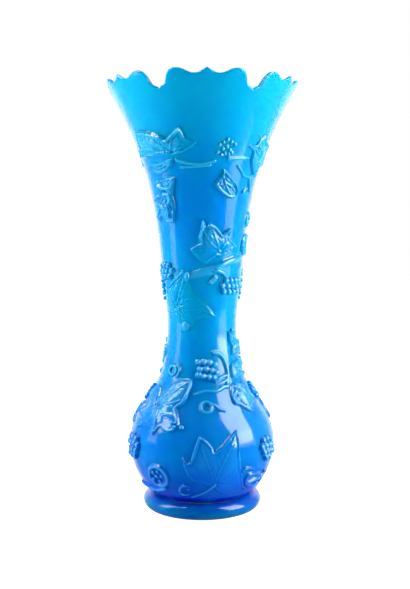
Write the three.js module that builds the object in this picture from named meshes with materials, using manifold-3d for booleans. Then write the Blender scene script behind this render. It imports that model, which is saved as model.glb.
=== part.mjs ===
// Opaline glass vase with a lobed, flared rim and moulded vine relief all round.
// Millimetres, +Z up, origin at the middle of the foot's underside, front of the vase towards -Y.
import * as THREE from "three";
import { mergeVertices } from "three/addons/utils/BufferGeometryUtils.js";
import Module from "manifold-3d";

const wasm = await Module();
wasm.setup();

// Heights and diameters of the glass body
const overallHeight = 300;
const rimDiameter = 135.2;
const flareDrop = 30;
const flareDiameter = 104;
const throatHeight = 205;
const throatDiameter = 64.4;
const neckHeight = 132;
const neckDiameter = 48.6;
const waistHeight = 96;
const waistDiameter = 58.8;
const bulbHeight = 48;
const bulbDiameter = 103.2;
const baseDiameter = 73.6;

// Walls of the body
const wallThickness = 4;
const lipThickness = 3;
const lipRounding = 1.2;
const floorThickness = 9;
const floorCorner = 6;
const undersideRise = 2;
const undersideDiameter = 62;

// Lobes of the rim: each has a point in its middle, a dip on both sides of it, and a notch at its ends
const lobeCount = 6;
const lobeTurn = 3;
const dipDepth = 3.3;
const shoulderFall = 3.6;
const notchShoulder = 9.6;
const notchDepth = 11.7;

// Foot ring
const footDiameter = 84.2;
const footHeight = 11;
const footFlat = 2.5;

// Moulded relief
const seatClearance = 0.3;
const reliefRoot = 3;
const leafEdge = 1;
const leafCrown = 1.6;
const berryRadius = 2.7;
const berryRise = 0.5;
const stemRadius = 1.7;
const tendrilRadius = 1.3;
const tubeRise = 0.6;

// Neighbouring berries lie this many radii apart, so that they always run into each other
const berryPitchRatio = 1.6;

// Facets
const rowsPerSpan = 2;
const outlineSteps = 600;
const footSegments = 48;
const footArcSteps = 4;
const leafSideStep = 9;
const leafRingSpacing = 11;
const tubeSides = 5;
const tubeStepLength = 4.5;
const ringSegments = 12;
const spiralPointsPerTurn = 8;
const weldDistance = 0.001;

const radians = THREE.MathUtils.degToRad;
const mix = THREE.MathUtils.lerp;

// Outline of the body's outer face, from its base to its rim
const base = { height: footHeight + seatClearance, radius: baseDiameter / 2 };
const bulb = { height: bulbHeight, radius: bulbDiameter / 2 };
const waist = { height: waistHeight, radius: waistDiameter / 2 };
const neck = { height: neckHeight, radius: neckDiameter / 2 };
const throat = { height: throatHeight, radius: throatDiameter / 2 };
const flare = { height: overallHeight - flareDrop, radius: flareDiameter / 2 };
const rim = { height: overallHeight, radius: rimDiameter / 2 };

// A shape point between two stations, as shares of the way in height and in radius
function between(low, high, heightShare, radiusShare) {
  return {
    height: mix(low.height, high.height, heightShare),
    radius: mix(low.radius, high.radius, radiusShare),
  };
}

const stations = [
  base,
  between(base, bulb, 0.24, 0.43),
  between(base, bulb, 0.59, 0.84),
  bulb,
  between(bulb, waist, 0.31, 0.14),
  between(bulb, waist, 0.67, 0.6),
  waist,
  between(waist, neck, 0.44, 0.69),
  neck,
  between(neck, throat, 0.45, 0.42),
  throat,
  between(throat, flare, 0.54, 0.4),
  flare,
  rim,
];

// Points along the outline, each with its run along the face and the face's outward direction
function sampleOutline() {
  const corners = stations.map((station) => new THREE.Vector3(station.radius, 0, station.height));
  const curve = new THREE.CatmullRomCurve3(corners, false, "centripetal");
  let run = 0;
  let last = corners[0];
  return Array.from({ length: outlineSteps + 1 }, (_, step) => {
    const point = curve.getPoint(step / outlineSteps);
    const tangent = curve.getTangent(step / outlineSteps);
    run += point.distanceTo(last);
    last = point;
    return { run, height: point.z, radius: point.x, across: tangent.z, up: -tangent.x };
  });
}

const outline = sampleOutline();

// The outline where its "height" or its "run" has the wanted value
function outlineAt(key, value) {
  let upper = 1;
  while (upper < outline.length - 1 && outline[upper][key] < value) {
    upper += 1;
  }
  const low = outline[upper - 1];
  const high = outline[upper];
  const share = (value - low[key]) / (high[key] - low[key]);
  return {
    run: mix(low.run, high.run, share),
    height: mix(low.height, high.height, share),
    radius: mix(low.radius, high.radius, share),
    across: mix(low.across, high.across, share),
    up: mix(low.up, high.up, share),
  };
}

// A point at an angle round the vase, counted from the front towards +X
function polar(angle, radius, height) {
  return new THREE.Vector3(radius * Math.sin(angle), -radius * Math.cos(angle), height);
}

// A closed skin over rings with equal numbers of points, ended by one point below and one above
function closedSkin(firstPoint, rings, lastPoint) {
  const count = rings[0].length;
  const points = [firstPoint, ...rings.flat(), lastPoint];
  const corner = (ring, place) => 1 + ring * count + (place % count);
  const lastRing = rings.length - 1;
  const index = [];
  for (let place = 0; place < count; place += 1) {
    index.push(0, corner(0, place + 1), corner(0, place));
    index.push(corner(lastRing, place), corner(lastRing, place + 1), points.length - 1);
    for (let ring = 0; ring < lastRing; ring += 1) {
      index.push(corner(ring, place), corner(ring, place + 1), corner(ring + 1, place));
      index.push(corner(ring, place + 1), corner(ring + 1, place + 1), corner(ring + 1, place));
    }
  }
  const geometry = new THREE.BufferGeometry().setFromPoints(points);
  geometry.setIndex(index);
  return geometry;
}

// Half a lobe of the rim: shares of the way from its point to its notch, with the fall below the crest
const halfLobe = [
  { share: 0, fall: 0 },
  { share: 0.27, fall: dipDepth },
  { share: 0.57, fall: 0 },
  { share: 0.79, fall: shoulderFall },
  { share: 0.87, fall: notchShoulder },
  { share: 1, fall: notchDepth },
];

// The angles round the vase at which the body has vertices, with the rim's height at each
function rimColumns() {
  const halfAngle = Math.PI / lobeCount;
  const mirrored = halfLobe.slice(1, -1).reverse();
  const columns = [];
  for (let lobe = 0; lobe < lobeCount; lobe += 1) {
    const middle = radians(lobeTurn) + lobe * 2 * halfAngle;
    for (const { share, fall } of mirrored) {
      columns.push({ angle: middle - share * halfAngle, top: overallHeight - fall });
    }
    for (const { share, fall } of halfLobe) {
      columns.push({ angle: middle + share * halfAngle, top: overallHeight - fall });
    }
  }
  return columns;
}

const columns = rimColumns();

// Heights between the base and the rim at which a face has a ring of vertices
function rowHeights(steps) {
  const heights = [];
  for (let span = 0; span + 1 < stations.length; span += 1) {
    for (let step = 0; step < steps; step += 1) {
      heights.push(mix(stations[span].height, stations[span + 1].height, step / steps));
    }
  }
  return heights;
}

// Above the flare a row is squeezed down to stay under its column's rim height
function squeezedHeight(height, top) {
  const share = Math.max(0, (height - flare.height) / (rim.height - flare.height));
  return height - share * (rim.height - top);
}

function outerRing(height, lift) {
  return columns.map(({ angle, top }) => {
    const spot = outlineAt("height", squeezedHeight(height, top));
    return polar(angle, spot.radius + lift * spot.across, spot.height + lift * spot.up);
  });
}

// Wall measured square to the glass, thinning from the flare to the lip
function wallAt(height) {
  const share = THREE.MathUtils.clamp((height - flare.height) / (rim.height - flare.height), 0, 1);
  return mix(wallThickness, lipThickness, share);
}

function innerRadius(height) {
  const spot = outlineAt("height", height);
  return spot.radius - wallAt(height) / spot.across;
}

function innerRing(height) {
  return columns.map(({ angle, top }) => {
    const level = squeezedHeight(height, top);
    return polar(angle, innerRadius(level), level);
  });
}

function crestRing() {
  return columns.map(({ angle, top }) => {
    return polar(angle, (outlineAt("height", top).radius + innerRadius(top)) / 2, top);
  });
}

function flatRing(radius, height) {
  return columns.map(({ angle }) => polar(angle, radius, height));
}

function makeBody() {
  const floorHeight = base.height + floorThickness;
  const cornerHeight = floorHeight + floorCorner;
  const lipHeight = overallHeight - lipRounding;
  const innerHeights = rowHeights(1).filter((height) => height > cornerHeight + floorCorner);
  return closedSkin(
    new THREE.Vector3(0, 0, base.height + undersideRise),
    [
      flatRing(undersideDiameter / 2, base.height),
      ...rowHeights(rowsPerSpan).map((height) => outerRing(height, 0)),
      outerRing(lipHeight, 0),
      crestRing(),
      innerRing(lipHeight),
      ...innerHeights.reverse().map((height) => innerRing(height)),
      flatRing(innerRadius(cornerHeight), cornerHeight),
      flatRing(innerRadius(cornerHeight) - floorCorner, floorHeight),
    ],
    new THREE.Vector3(0, 0, floorHeight),
  );
}

// Foot ring: half-round inside and outside, with a flat to stand on and a flat that carries the body
function makeFoot() {
  const roundRadius = footHeight / 2;
  const outerCentre = footDiameter / 2 - roundRadius;
  const innerCentre = outerCentre - footFlat;
  const arc = (centre, startAngle) => {
    return Array.from({ length: footArcSteps + 1 }, (_, step) => {
      const angle = startAngle + (Math.PI * step) / footArcSteps;
      const across = centre + roundRadius * Math.cos(angle);
      return new THREE.Vector2(across, roundRadius + roundRadius * Math.sin(angle));
    });
  };
  const profile = [...arc(outerCentre, -Math.PI / 2), ...arc(innerCentre, Math.PI / 2)];
  profile.push(profile[0].clone());
  return new THREE.LatheGeometry(profile, footSegments).rotateX(Math.PI / 2);
}

function solidOf(geometry) {
  const bare = new THREE.BufferGeometry();
  bare.setAttribute("position", geometry.getAttribute("position"));
  bare.setIndex(geometry.getIndex());
  const welded = mergeVertices(bare, weldDistance);
  const vertProperties = Float32Array.from(welded.getAttribute("position").array);
  const triVerts = Uint32Array.from(welded.getIndex().array);
  return new wasm.Manifold(new wasm.Mesh({ numProp: 3, vertProperties, triVerts }));
}

function geometryOf(solid) {
  const mesh = solid.getMesh();
  const geometry = new THREE.BufferGeometry();
  geometry.setAttribute("position", new THREE.BufferAttribute(mesh.vertProperties, mesh.numProp));
  geometry.setIndex(new THREE.BufferAttribute(mesh.triVerts, 1));
  return geometry;
}

// The body with its seat clearance, which gives each piece of relief the body's own facets underneath
const sleeve = solidOf(
  closedSkin(
    new THREE.Vector3(0, 0, base.height),
    [
      ...rowHeights(rowsPerSpan).map((height) => outerRing(height, seatClearance)),
      outerRing(overallHeight, seatClearance),
    ],
    new THREE.Vector3(0, 0, overallHeight),
  ),
);

// The vine is drawn on a scale of heights of its own, on which the stations have these marks
const drawnStations = [
  { mark: 11.3, station: base },
  { mark: 48, station: bulb },
  { mark: 96, station: waist },
  { mark: 132, station: neck },
  { mark: 205, station: throat },
  { mark: 270, station: flare },
  { mark: 300, station: rim },
];

// The outline at a height of the vine's drawing, which keeps its place between two stations
function drawnOutline(drawnHeight) {
  let upper = 1;
  while (upper < drawnStations.length - 1 && drawnStations[upper].mark < drawnHeight) {
    upper += 1;
  }
  const low = drawnStations[upper - 1];
  const high = drawnStations[upper];
  const share = (drawnHeight - low.mark) / (high.mark - low.mark);
  return outlineAt("height", mix(low.station.height, high.station.height, share));
}

// Relief is drawn flat, with x to the right, y up and z out of the glass, round an origin that is
// a place on the vase: degrees from the front, and drawn height. A stiff piece keeps its drawn form
// where the vase is stretched, so that it stays beside the bunch of grapes at its origin.
function flatPlace(origin, [degrees, drawnHeight], stiff = false) {
  const home = drawnOutline(origin[1]);
  const stiffHeight = home.height + drawnHeight - origin[1];
  const spot = stiff ? outlineAt("height", stiffHeight) : drawnOutline(drawnHeight);
  const meanRadius = (home.radius + spot.radius) / 2;
  return new THREE.Vector2(radians(degrees - origin[0]) * meanRadius, spot.run - home.run);
}

function wrapOnVase(geometry, origin) {
  const home = drawnOutline(origin[1]);
  const position = geometry.getAttribute("position");
  for (let place = 0; place < position.count; place += 1) {
    const spot = outlineAt("run", home.run + position.getY(place));
    const meanRadius = (home.radius + spot.radius) / 2;
    const angle = radians(origin[0]) + position.getX(place) / meanRadius;
    const lift = position.getZ(place);
    const point = polar(angle, spot.radius + lift * spot.across, spot.height + lift * spot.up);
    position.setXYZ(place, point.x, point.y, point.z);
  }
  return geometry;
}

// Leaf outline: its corners on the glass, with more points along its longer sides
function leafOutline(origin, corners) {
  const flats = corners.map((corner) => flatPlace(origin, corner));
  const edge = flats.flatMap((flat, place) => {
    const next = flats[(place + 1) % flats.length];
    const steps = Math.max(1, Math.round(flat.distanceTo(next) / leafSideStep));
    return Array.from({ length: steps }, (_, step) => flat.clone().lerp(next, step / steps));
  });
  return THREE.ShapeUtils.isClockWise(edge) ? edge.reverse() : edge;
}

// A leaf lies on the glass like a low dome, thinnest at its edge
function leaf(origin, corners) {
  const edge = leafOutline(origin, corners);
  const longest = Math.max(...edge.map((point) => point.length()));
  const ringCount = Math.max(2, Math.ceil(longest / leafRingSpacing));
  const ringAt = (share, lift) => edge.map(({ x, y }) => new THREE.Vector3(x * share, y * share, lift));
  const rings = [ringAt(1, -reliefRoot)];
  for (let ring = ringCount; ring > 0; ring -= 1) {
    const share = ring / ringCount;
    rings.push(ringAt(share, leafEdge + leafCrown * (1 - share ** 2)));
  }
  const bottom = new THREE.Vector3(0, 0, -reliefRoot);
  return [closedSkin(bottom, rings, new THREE.Vector3(0, 0, leafEdge + leafCrown))];
}

// Grapes: staggered rows of berries from the top down, each with its number of berries
function grapes(rows) {
  const pitch = berryRadius * berryPitchRatio;
  const rowPitch = pitch * Math.sin(Math.PI / 3);
  return rows.flatMap((count, row) => {
    const level = ((rows.length - 1) / 2 - row) * rowPitch;
    return Array.from({ length: count }, (_, place) => {
      const berry = new THREE.IcosahedronGeometry(berryRadius);
      return berry.translate((place - (count - 1) / 2) * pitch, level, berryRise);
    });
  });
}

function tubeAlong(flatPoints, radius) {
  const pathPoints = flatPoints.map(({ x, y }) => new THREE.Vector3(x, y, tubeRise));
  const path = new THREE.CatmullRomCurve3(pathPoints);
  const section = Array.from({ length: tubeSides }, (_, side) => {
    const angle = (2 * Math.PI * side) / tubeSides;
    return new THREE.Vector2(radius * Math.cos(angle), radius * Math.sin(angle));
  });
  const steps = Math.max(2, Math.round(path.getLength() / tubeStepLength));
  return new THREE.ExtrudeGeometry(new THREE.Shape(section), { steps, extrudePath: path });
}

// Stems: one tube through each list of places
function stems(origin, radius, stiff, routes) {
  return routes.map((route) => {
    const flats = route.map((place) => flatPlace(origin, place, stiff));
    return tubeAlong(flats, radius);
  });
}

function ring(radius) {
  const torus = new THREE.TorusGeometry(radius, tendrilRadius, tubeSides, ringSegments);
  return [torus.translate(0, 0, tubeRise)];
}

// A spiral tendril that winds in from its outer end
function spiral(outerRadius, innerRadius, turns, startDegrees) {
  const pointCount = Math.round(turns * spiralPointsPerTurn);
  const points = Array.from({ length: pointCount + 1 }, (_, step) => {
    const share = step / pointCount;
    const angle = radians(startDegrees) - share * turns * 2 * Math.PI;
    const radius = mix(outerRadius, innerRadius, share);
    return new THREE.Vector2(radius * Math.cos(angle), radius * Math.sin(angle));
  });
  return [tubeAlong(points, tendrilRadius)];
}

function reliefMesh(name, origin, geometries, colour) {
  const solids = geometries.map((geometry) => solidOf(wrapOnVase(geometry, origin)));
  const joined = solids.reduce((whole, solid) => whole.add(solid));
  return glassMesh(name, geometryOf(joined.subtract(sleeve)), colour);
}

function glassMesh(name, geometry, colour) {
  const finish = { color: colour, roughness: glassRoughness, metalness: 0 };
  const material = new THREE.MeshStandardMaterial(finish);
  const mesh = new THREE.Mesh(geometry, material);
  mesh.name = name;
  return mesh;
}

// Glossy opaline glass, palest where it is thin and where the relief catches the light
const glassRoughness = 0.08;
const bodyColour = 0x0a86dc;
const footColour = 0x0a5cc4;
const leafColour = 0x18a4e6;
const grapeColour = 0x22aeea;
const stemColour = 0x1496e0;

// The vine's pieces on one half of the vase, as places in degrees from the front and drawn heights.
// A leaf has its middle and its outline's corners, a bunch of grapes its rows, a stem the routes it takes.
const vine = {
  base_leaf: {
    at: [10, 38],
    corners: [
      [-14.4, 46.7], [-6, 45], [-2, 60.5], [8.8, 50.5], [29, 63.5], [30.6, 50], [32.5, 39],
      [39, 22], [20, 19.5], [9, 26], [0, 29], [-11, 33],
    ],
  },
  bulb_left_leaf: {
    at: [-42, 75],
    corners: [
      [-12.5, 95.5], [-15.5, 83], [-25, 77], [-17, 66], [-27, 62], [-36, 64.5], [-41, 58.5],
      [-50, 63.5], [-66, 60], [-63, 67], [-77, 71], [-69, 76], [-77, 84], [-68, 89.5], [-55, 87],
      [-49, 81], [-46, 92], [-30, 93],
    ],
  },
  shoulder_right_leaf: {
    at: [48, 84],
    corners: [
      [41, 92], [34, 88.5], [32.5, 84], [34, 79], [41, 77.5], [47, 73], [54, 72], [58, 77],
      [72, 79], [66, 85], [70, 92], [55, 91],
    ],
  },
  waist_right_leaf: {
    at: [62, 101],
    corners: [
      [43, 104], [50, 106.5], [62, 107], [76, 108], [85, 103], [76, 100], [83, 94.5], [62, 95.5],
      [46, 94.5],
    ],
  },
  neck_low_leaf: {
    at: [62, 117],
    corners: [
      [46, 128], [58, 124], [70, 121.5], [84, 121], [76, 116], [81, 110.5], [64, 112],
      [50, 110.5], [53, 116], [46, 121],
    ],
  },
  neck_front_leaf: {
    at: [18, 188],
    corners: [
      [1, 204.5], [-4, 192.5], [-1, 189], [-14.5, 184.5], [-8, 180.5], [5, 174.5], [16, 179],
      [31, 179], [50, 187], [37, 191], [38.5, 199.5], [26, 194.5], [17, 200.5], [8, 202],
      [4, 201.5],
    ],
  },
  neck_left_leaf: {
    at: [-32, 148],
    corners: [
      [-22, 169.5], [-19, 162], [-12, 153], [2, 147], [21, 138.5], [3, 138.5], [-10, 135],
      [-16, 131], [-34, 131], [-44, 138], [-72, 139.5], [-58, 146], [-62, 153], [-50, 160],
    ],
  },
  mouth_left_leaf: {
    at: [-34, 252],
    corners: [
      [-62, 264.5], [-46, 262], [-30, 257.5], [-18, 264.5], [-13, 257], [-4, 254.5],
      [-14, 249.5], [-25, 247], [-40, 248.5], [-56, 247.8], [-76, 246.5], [-66, 255],
    ],
  },
  mouth_left_lower_leaf: {
    at: [-44, 240],
    corners: [
      [-59, 243.5], [-48, 243], [-38, 244.5], [-28, 244], [-31, 239.5], [-41, 236], [-53, 235.5],
    ],
  },
  hanging_left_leaf: {
    at: [-44, 217],
    corners: [
      [-52, 230], [-40, 231], [-28, 233], [-33, 224], [-32, 214], [-34, 202.5], [-48, 202.5],
      [-52, 208], [-68, 203.5], [-60, 212], [-67, 219], [-54, 222],
    ],
  },
  mouth_right_leaf: {
    at: [62, 247],
    corners: [
      [63, 262.5], [54, 255], [44, 253.5], [52, 248.5], [51, 242], [57, 236.5], [68, 233],
      [71, 240], [81, 243], [77, 251], [78, 258], [68, 256],
    ],
  },
  mouth_centre_leaf: {
    at: [28, 228],
    corners: [
      [21, 238.5], [19.5, 233], [13, 228.5], [17, 224.5], [25, 221], [33, 218.5], [41, 220],
      [42, 224], [36, 231], [29, 234.5],
    ],
  },
  neck_side_leaf: {
    at: [75, 186],
    corners: [
      [65, 191], [72, 194.5], [85, 195.5], [82, 187], [86, 180], [74, 179.5], [64, 183],
    ],
  },
  waist_grapes: {
    at: [7, 103],
    rows: [4, 4, 3],
  },
  bulb_right_grapes: {
    at: [61, 48],
    rows: [3, 4, 3],
  },
  bulb_left_grapes: {
    at: [-67, 48],
    rows: [3, 4, 3],
  },
  shoulder_right_grapes: {
    at: [82, 84],
    rows: [1, 2, 1],
  },
  neck_right_grapes: {
    at: [46, 157],
    rows: [4, 3, 2],
  },
  neck_left_grapes: {
    at: [-60, 169],
    rows: [3, 4, 3],
  },
  mouth_right_grapes: {
    at: [22, 253],
    rows: [2, 3, 2],
  },
  bulb_tendril: {
    at: [-34, 32.5],
    spiral: { outerRadius: 9, innerRadius: 2.2, turns: 1.75, startDegrees: 200 },
  },
  bulb_ring: {
    at: [4.4, 78],
    ringRadius: 3.8,
    routes: [[[9, 80], [14, 78], [22, 75.5]]],
  },
  waist_left_ring: {
    at: [-45, 101.5],
    ringRadius: 3.4,
    routes: [[[-38, 103], [-33, 105], [-30, 101]]],
  },
  waist_tendril: {
    at: [30, 102],
    routes: [
      [[20, 112.5], [28, 111.5], [34, 107.5], [37, 102], [36, 97]],
      [[36, 98], [28, 95], [18, 92.5]],
    ],
    stiff: true,
  },
  base_bud: {
    at: [-16, 23],
    routes: [[[-14.5, 27], [-15, 24], [-18, 20.5]]],
  },
  base_curl: {
    at: [50, 28],
    routes: [[[42, 33], [48, 35], [55, 33.5], [57, 29], [52, 26.5], [45, 27]]],
  },
  neck_bud: {
    at: [16, 162],
    routes: [[[13, 161.5], [19, 164]]],
  },
  neck_stem: {
    at: [20, 171],
    routes: [
      [[-12, 165.5], [2, 168.5], [20, 171.5], [40, 176], [60, 178]],
      [[17, 171], [28, 169.5], [38, 166.5]],
    ],
    thick: true,
  },
  mouth_twig: {
    at: [40, 245.5],
    routes: [[[35, 245.5], [48, 245.7]]],
  },
  mouth_stems: {
    at: [50, 230],
    routes: [[[44, 238], [48, 233.5], [56, 233]], [[49, 234], [50, 226], [51, 218]]],
  },
  neck_side_ring: {
    at: [77, 205],
    ringRadius: 4.2,
  },
};

// Pieces that are left to the front half, where they show best
const frontOnly = new Set([
  "base_bud",
  "base_curl",
  "neck_bud",
  "mouth_twig",
  "mouth_stems",
  "shoulder_right_grapes",
  "neck_side_leaf",
  "neck_side_ring",
]);

function drawPiece(piece, origin, turn) {
  const turned = (places) => places.map(([degrees, height]) => [degrees + turn, height]);
  if (piece.corners) {
    return { geometries: leaf(origin, turned(piece.corners)), colour: leafColour };
  }
  if (piece.rows) {
    return { geometries: grapes(piece.rows), colour: grapeColour };
  }
  const geometries = [];
  if (piece.spiral) {
    const { outerRadius, innerRadius: coreRadius, turns, startDegrees } = piece.spiral;
    geometries.push(...spiral(outerRadius, coreRadius, turns, startDegrees));
  }
  if (piece.ringRadius) {
    geometries.push(...ring(piece.ringRadius));
  }
  if (piece.routes) {
    const radius = piece.thick ? stemRadius : tendrilRadius;
    geometries.push(...stems(origin, radius, piece.stiff, piece.routes.map(turned)));
  }
  return { geometries, colour: stemColour };
}

function addVine(group, side, turn) {
  for (const [name, piece] of Object.entries(vine)) {
    if (side === "back" && frontOnly.has(name)) {
      continue;
    }
    const origin = [piece.at[0] + turn, piece.at[1]];
    const { geometries, colour } = drawPiece(piece, origin, turn);
    group.add(reliefMesh(`${side}_${name}`, origin, geometries, colour));
  }
}

const group = new THREE.Group();
group.add(glassMesh("vase_body", makeBody(), bodyColour));
group.add(glassMesh("foot_ring", makeFoot(), footColour));
addVine(group, "front", 0);
addVine(group, "back", 180);

export default group;
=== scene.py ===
"""Blue opaline vase with a lobed rim and moulded vine relief, dressed for its photograph."""
import math

import bpy
import numpy as np
from mathutils import Matrix, Vector
from mathutils.geometry import delaunay_2d_cdt


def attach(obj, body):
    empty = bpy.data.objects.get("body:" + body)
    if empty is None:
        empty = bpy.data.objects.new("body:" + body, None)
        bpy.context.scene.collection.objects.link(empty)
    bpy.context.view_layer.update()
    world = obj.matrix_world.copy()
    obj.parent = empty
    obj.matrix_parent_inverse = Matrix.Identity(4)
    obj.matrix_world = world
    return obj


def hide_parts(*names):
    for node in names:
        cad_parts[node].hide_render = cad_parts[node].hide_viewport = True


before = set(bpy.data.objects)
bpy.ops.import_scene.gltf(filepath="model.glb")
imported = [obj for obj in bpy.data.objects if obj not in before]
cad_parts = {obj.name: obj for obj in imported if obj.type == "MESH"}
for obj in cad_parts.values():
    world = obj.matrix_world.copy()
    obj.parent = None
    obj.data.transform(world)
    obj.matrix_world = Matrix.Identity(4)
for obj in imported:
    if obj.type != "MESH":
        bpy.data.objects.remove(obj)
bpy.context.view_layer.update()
scene = bpy.context.scene

# Millimetres are used for the glass, as in the solids, and turned into metres in the meshes
MM = 0.001

# Heights and diameters of the glass body
OVERALL_HEIGHT = 300.0
RIM_DIAMETER = 135.2
FLARE_HEIGHT = 270.0
FLARE_DIAMETER = 104.0
THROAT_HEIGHT = 205.0
THROAT_DIAMETER = 64.4
NECK_HEIGHT = 132.0
NECK_DIAMETER = 48.6
WAIST_HEIGHT = 96.0
WAIST_DIAMETER = 58.8
BULB_HEIGHT = 48.0
BULB_DIAMETER = 103.2
BASE_HEIGHT = 11.3
BASE_DIAMETER = 73.6

WALL = 4.0
LIP_WALL = 3.0
FLOOR_THICKNESS = 9.0
FLOOR_CORNER = 6.0
UNDERSIDE_RISE = 2.0
# The recess under the body: radius, and share of its full rise
UNDERSIDE = [(12, 0.95), (22, 0.7), (28, 0.3), (31, 0), (34, 0)]

LOBE_COUNT = 6
LOBE_TURN = 3.0
# Fall of the rim below its crest along half a lobe, from its point to its notch, in degrees and millimetres
LOBE_FALL = [
    (0, 0.0), (1.5, 0.9), (3, 1.9), (5, 2.9), (7, 3.3), (9, 3.1), (11, 2.3), (13, 1.2), (15, 0.35),
    (17, 0.0), (19, 0.05), (21, 0.7), (22.5, 2.0), (23.7, 4.4), (24.6, 7.4), (25.6, 9.2), (27, 9.7),
    (28.6, 10.3), (30, 11.7),
]

GROOVE_TOP = 14.6
GROOVE_DEPTH = 1.6
GROOVE_SOFTNESS = 0.7
GROOVE_LIP = 0.35
GROOVE_LIP_RISE = 1.2
GROOVE_LIP_WIDTH = 0.8

FOOT_DIAMETER = 84.2
FOOT_HEIGHT = 11.0
FOOT_FLAT = 2.5

# Fineness of the meshes: columns round the vase, rows of its walls and steps round its rounded edges
OUTLINE_STEPS = 60
BODY_COLUMNS = 360
FINE_ROWS_TOP = 20.0
FINE_ROWS = 22
OUTER_ROWS = 150
INNER_ROWS = 88
LIP_STEPS = 8
CORNER_STEPS = 5
FOOT_COLUMNS = 192
FOOT_STEPS = 16


# Outline of the body's outer face

def between(low, high, height_share, radius_share):
    """A shape point between two stations, as shares of the way in height and in radius."""
    return (
        low[0] + (high[0] - low[0]) * height_share,
        low[1] + (high[1] - low[1]) * radius_share,
    )


def outline_stations():
    base = (BASE_HEIGHT, BASE_DIAMETER / 2)
    bulb = (BULB_HEIGHT, BULB_DIAMETER / 2)
    waist = (WAIST_HEIGHT, WAIST_DIAMETER / 2)
    neck = (NECK_HEIGHT, NECK_DIAMETER / 2)
    throat = (THROAT_HEIGHT, THROAT_DIAMETER / 2)
    flare = (FLARE_HEIGHT, FLARE_DIAMETER / 2)
    rim = (OVERALL_HEIGHT, RIM_DIAMETER / 2)
    return [
        base,
        between(base, bulb, 0.24, 0.43),
        between(base, bulb, 0.59, 0.84),
        bulb,
        between(bulb, waist, 0.31, 0.14),
        between(bulb, waist, 0.67, 0.6),
        waist,
        between(waist, neck, 0.44, 0.69),
        neck,
        between(neck, throat, 0.45, 0.42),
        throat,
        between(throat, flare, 0.54, 0.4),
        flare,
        rim,
    ]


def catmull_rom(points, steps):
    """A centripetal Catmull-Rom curve through the points, with a number of steps per span."""
    points = [np.array(point, float) for point in points]
    ends = [2 * points[0] - points[1], *points, 2 * points[-1] - points[-2]]
    share = np.arange(steps)[:, None] / steps
    spans = []
    for first, start, end, last in zip(ends, ends[1:], ends[2:], ends[3:]):
        gaps = [math.sqrt(np.linalg.norm(b - a)) for a, b in ((first, start), (start, end), (end, last))]
        before = (start - first) / gaps[0] - (end - first) / (gaps[0] + gaps[1]) + (end - start) / gaps[1]
        after = (end - start) / gaps[1] - (last - start) / (gaps[1] + gaps[2]) + (last - end) / gaps[2]
        spans.append(
            (2 * share ** 3 - 3 * share ** 2 + 1) * start
            + (share ** 3 - 2 * share ** 2 + share) * before * gaps[1]
            + (3 * share ** 2 - 2 * share ** 3) * end
            + (share ** 3 - share ** 2) * after * gaps[1]
        )
    return np.concatenate([*spans, points[-1:]])


def run_along(points):
    """How far along a path each of its points is."""
    return np.concatenate([[0], np.cumsum(np.hypot(*np.diff(points, axis=0).T))])


class Outline:
    """The outer face's height, radius and outward direction along its run."""

    def __init__(self):
        curve = catmull_rom(outline_stations(), OUTLINE_STEPS)
        self.height = curve[:, 0]
        self.radius = curve[:, 1]
        self.run = run_along(curve)
        rise = np.gradient(self.height, self.run)
        widening = np.gradient(self.radius, self.run)
        size = np.hypot(rise, widening)
        self.across = rise / size
        self.up = -widening / size

    def run_at(self, height):
        return np.interp(height, self.height, self.run)

    def at_run(self, run):
        return [np.interp(run, self.run, row) for row in (self.height, self.radius, self.across, self.up)]

    def at_height(self, height):
        return self.at_run(self.run_at(height))


OUTLINE = Outline()


def polar(angle, radius, height):
    """Points at angles round the vase, counted from the front towards +X."""
    return np.stack([radius * np.sin(angle), -radius * np.cos(angle), height], -1)


def level_ring(angles, radius, height):
    """A ring of points at one radius and height."""
    return polar(angles, radius, np.full_like(angles, height))


# Objects and meshes

def new_object(name, data):
    piece = bpy.data.objects.new(name, data)
    scene.collection.objects.link(piece)
    return piece


def mesh_object(name, points, faces):
    """A smooth mesh object in metres from points in millimetres."""
    mesh = bpy.data.meshes.new(name)
    mesh.from_pydata((np.asarray(points) * MM).tolist(), [], [list(map(int, face)) for face in faces])
    mesh.validate()
    mesh.shade_smooth()
    return new_object(name, mesh)


def keep_crest(piece, lifts, top):
    """How far each point stands out of the glass, as a share of a full crest, for the material's painted
    highlight on the crests.
    """
    layer = piece.data.attributes.new("crest", "FLOAT", "POINT")
    layer.data.foreach_set("value", np.asarray(lifts / top, np.float32))


def ring_faces(ring_count, size, first=0, looped=False):
    """Quads between neighbouring closed rings of points, and from the last to the first if looped."""
    ring, place = np.meshgrid(np.arange(ring_count - 1 + looped), np.arange(size), indexing="ij")
    after = (place + 1) % size
    start = first + ring * size
    end = first + (ring + 1) % ring_count * size
    return np.stack([start + place, start + after, end + after, end + place], -1).reshape(-1, 4).tolist()


def capped_faces(ring_count, size):
    """Faces of a closed skin over a first point, rings of points and a last point."""
    faces = ring_faces(ring_count, size, 1)
    last = 1 + ring_count * size
    for place in range(size):
        after = (place + 1) % size
        faces.append([0, 1 + after, 1 + place])
        faces.append([last - size + place, last - size + after, last])
    return faces


# Body and foot

COLUMN_ANGLES = np.radians(LOBE_TURN) + np.arange(BODY_COLUMNS) * 2 * math.pi / BODY_COLUMNS


def rim_height(angle):
    """Height of the rim's crest at angles round the vase."""
    lobe = 360 / LOBE_COUNT
    place = np.abs((np.degrees(angle) - LOBE_TURN + lobe / 2) % lobe - lobe / 2)
    degrees, falls = np.array(LOBE_FALL).T
    return OVERALL_HEIGHT - np.interp(place, degrees, falls)


def flare_share(height):
    """Share of the way up from the flare to the rim."""
    return np.clip((height - FLARE_HEIGHT) / (OVERALL_HEIGHT - FLARE_HEIGHT), 0, 1)


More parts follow.
